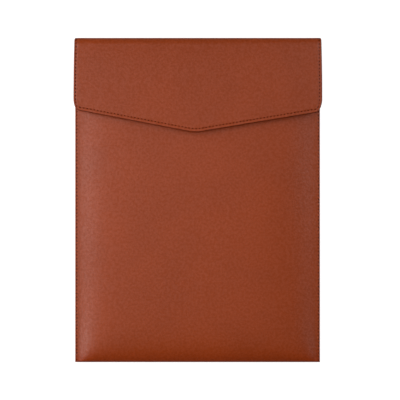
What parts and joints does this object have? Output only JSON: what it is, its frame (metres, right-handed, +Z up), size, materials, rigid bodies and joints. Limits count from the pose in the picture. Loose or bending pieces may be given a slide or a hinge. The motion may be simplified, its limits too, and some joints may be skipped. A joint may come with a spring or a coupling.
{
  "type": "file bag",
  "caption": "Flat file bag for A4 papers: a folded leather pouch with sewn sides and a shallow pointed flap that closes over its front.",
  "frame": {"origin": "centre of the bag's outline, on the flat back that it lies on", "axes": "+X across the bag to the right as seen from its front, +Y along its length to the top fold, +Z up out of its front"},
  "size_m": [0.2478, 0.3244, 0.0186],
  "materials": {
    "leather": "fine pebble grain, satin",
    "thread": "twisted sewing thread, matt",
    "clasp_metal": "plain"
  },
  "bodies": {
    "root": {"pouch": "leather", "flap": "leather", "clasp": "clasp_metal"}
  },
  "joints": []
}
